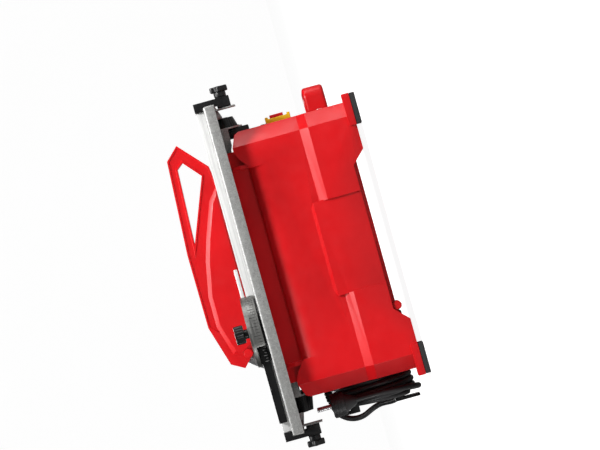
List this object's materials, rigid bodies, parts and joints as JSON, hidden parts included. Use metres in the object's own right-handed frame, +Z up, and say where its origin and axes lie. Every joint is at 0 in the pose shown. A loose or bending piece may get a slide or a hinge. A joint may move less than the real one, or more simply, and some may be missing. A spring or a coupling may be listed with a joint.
{
  "type": "wet tile saw",
  "caption": "Portable wet tile saw with a tilting sheet-metal table, rip fence with angle stop, blade guard, water tray, carry handle and a cord wound on its rear end.",
  "frame": {"origin": "centre of the footprint of the whole saw without its cord, at the bottom of the rubber feet", "axes": "+Z up; +X towards the switch and carry handle end; -Y towards the rip fence and motor side"},
  "size_m": [0.467, 0.36, 0.261],
  "materials": {
    "red_plastic": "saturated red moulded plastic with a fine texture",
    "black_plastic": "black moulded plastic, satin",
    "foot_rubber": "matt black rubber",
    "cord_rubber": "black rubber cable sheath",
    "yellow_plastic": "bright yellow plastic",
    "green_plastic": "green push button",
    "zinc_sheet": "galvanised sheet steel with a mottled spangle",
    "aluminium": "extruded or cast aluminium",
    "steel": "turned and zinc plated steel",
    "blade_steel": "ground steel disc with a grey diamond rim",
    "motor_paint": "dark grey painted motor shell",
    "rotor_metal": "laminated rotor core"
  },
  "bodies": {
    "root": {"housing_shell": "red_plastic", "water_tray": "red_plastic", "carry_handle": "red_plastic", "guard_bolt": "red_plastic", "switch_box": "black_plastic", "cord_hook_upper": "black_plastic", "cord_hook_lower": "black_plastic", "front_pivot_block": "black_plastic", "rear_pivot_block": "black_plastic", "fan_cowl": "black_plastic", "capacitor": "black_plastic", "cord_strain_relief": "black_plastic", "foot_pad_front_near": "foot_rubber", "foot_pad_front_far": "foot_rubber", "foot_pad_rear_near": "foot_rubber", "foot_pad_rear_far": "foot_rubber", "cord_lead": "cord_rubber", "cord_coil": "cord_rubber", "plug_body": "cord_rubber", "switch_frame": "yellow_plastic", "motor_plate": "zinc_sheet", "drive_end_shield": "aluminium", "fan_end_shield": "aluminium", "drive_bearing": "steel", "fan_bearing": "steel", "riving_knife": "steel", "front_pivot_bolt": "steel", "rear_pivot_bolt": "steel", "plug_pin_left": "steel", "plug_pin_right": "steel", "motor_body": "motor_paint"},
    "rotor": {"motor_shaft": "steel", "rotor_core": "rotor_metal", "cooling_fan": "black_plastic", "inner_flange": "steel", "diamond_blade": "blade_steel", "outer_flange": "steel", "blade_nut": "steel"},
    "table": {"table_top": "zinc_sheet", "front_tilt_plate": "zinc_sheet", "rear_tilt_plate": "zinc_sheet"},
    "fence": {"fence_rail": "aluminium", "front_fence_clamp": "black_plastic", "rear_fence_clamp": "black_plastic", "front_clamp_plate": "zinc_sheet", "rear_clamp_plate": "zinc_sheet"},
    "angle_stop": {"angle_stop_base": "black_plastic", "protractor_plate": "zinc_sheet", "guide_arm": "aluminium"},
    "front_tilt_knob": {"front_tilt_knob": "black_plastic"},
    "rear_tilt_knob": {"rear_tilt_knob": "black_plastic"},
    "front_clamp_knob": {"front_clamp_knob": "black_plastic"},
    "rear_clamp_knob": {"rear_clamp_knob": "black_plastic"},
    "stop_bar": {"stop_bar": "black_plastic"},
    "angle_knob": {"angle_knob": "black_plastic"},
    "guard": {"guard_hood": "red_plastic"},
    "off_button": {"off_button": "red_plastic"},
    "on_button": {"on_button": "green_plastic"},
    "drain_plug": {"drain_plug": "red_plastic"}
  },
  "joints": [
    {"name": "blade_spin", "type": "hinge", "parent": "root", "child": "rotor", "pos_m": [-0.015, 0.045, 0.129], "axis": [0, 1, 0], "continuous": true},
    {"name": "table_tilt", "type": "hinge", "parent": "root", "child": "table", "pos_m": [0, 0.037, 0.166], "axis": [-1, 0, 0], "range_deg": [0, 45]},
    {"name": "front_tilt_knob_turn", "type": "hinge", "parent": "root", "child": "front_tilt_knob", "pos_m": [0.19, 0.037, 0.166], "axis": [1, 0, 0], "range_deg": [0, 360]},
    {"name": "rear_tilt_knob_turn", "type": "hinge", "parent": "root", "child": "rear_tilt_knob", "pos_m": [-0.19, 0.037, 0.166], "axis": [-1, 0, 0], "range_deg": [0, 360]},
    {"name": "fence_slide", "type": "slide", "parent": "table", "child": "fence", "axis": [0, 1, 0], "range_m": [-0.035, 0.035]},
    {"name": "front_clamp_knob_turn", "type": "hinge", "parent": "fence", "child": "front_clamp_knob", "pos_m": [0.22, -0.115, 0.161], "axis": [1, 0, 0], "range_deg": [0, 540]},
    {"name": "rear_clamp_knob_turn", "type": "hinge", "parent": "fence", "child": "rear_clamp_knob", "pos_m": [-0.22, -0.115, 0.161], "axis": [-1, 0, 0], "range_deg": [0, 540]},
    {"name": "angle_stop_slide", "type": "slide", "parent": "fence", "child": "angle_stop", "axis": [1, 0, 0], "range_m": [-0.01, 0.18]},
    {"name": "stop_bar_turn", "type": "hinge", "parent": "angle_stop", "child": "stop_bar", "pos_m": [-0.075, -0.1296, 0.19], "axis": [0, 0, 1], "range_deg": [0, 45]},
    {"name": "angle_knob_turn", "type": "hinge", "parent": "angle_stop", "child": "angle_knob", "pos_m": [-0.075, -0.1296, 0.21], "axis": [0, 0, 1], "range_deg": [0, 540]},
    {"name": "guard_lift", "type": "hinge", "parent": "root", "child": "guard", "pos_m": [-0.106, 0.045, 0.218], "axis": [0, -1, 0], "range_deg": [0, 35]},
    {"name": "off_button_press", "type": "slide", "parent": "root", "child": "off_button", "axis": [-1, 0, 0], "range_m": [0, 0.003], "stiffness_N_per_m": 400},
    {"name": "on_button_press", "type": "slide", "parent": "root", "child": "on_button", "axis": [-1, 0, 0], "range_m": [0, 0.003], "stiffness_N_per_m": 400},
    {"name": "drain_plug_pull", "type": "slide", "parent": "root", "child": "drain_plug", "axis": [0, -1, 0], "range_m": [0, 0.015]}
  ]
}
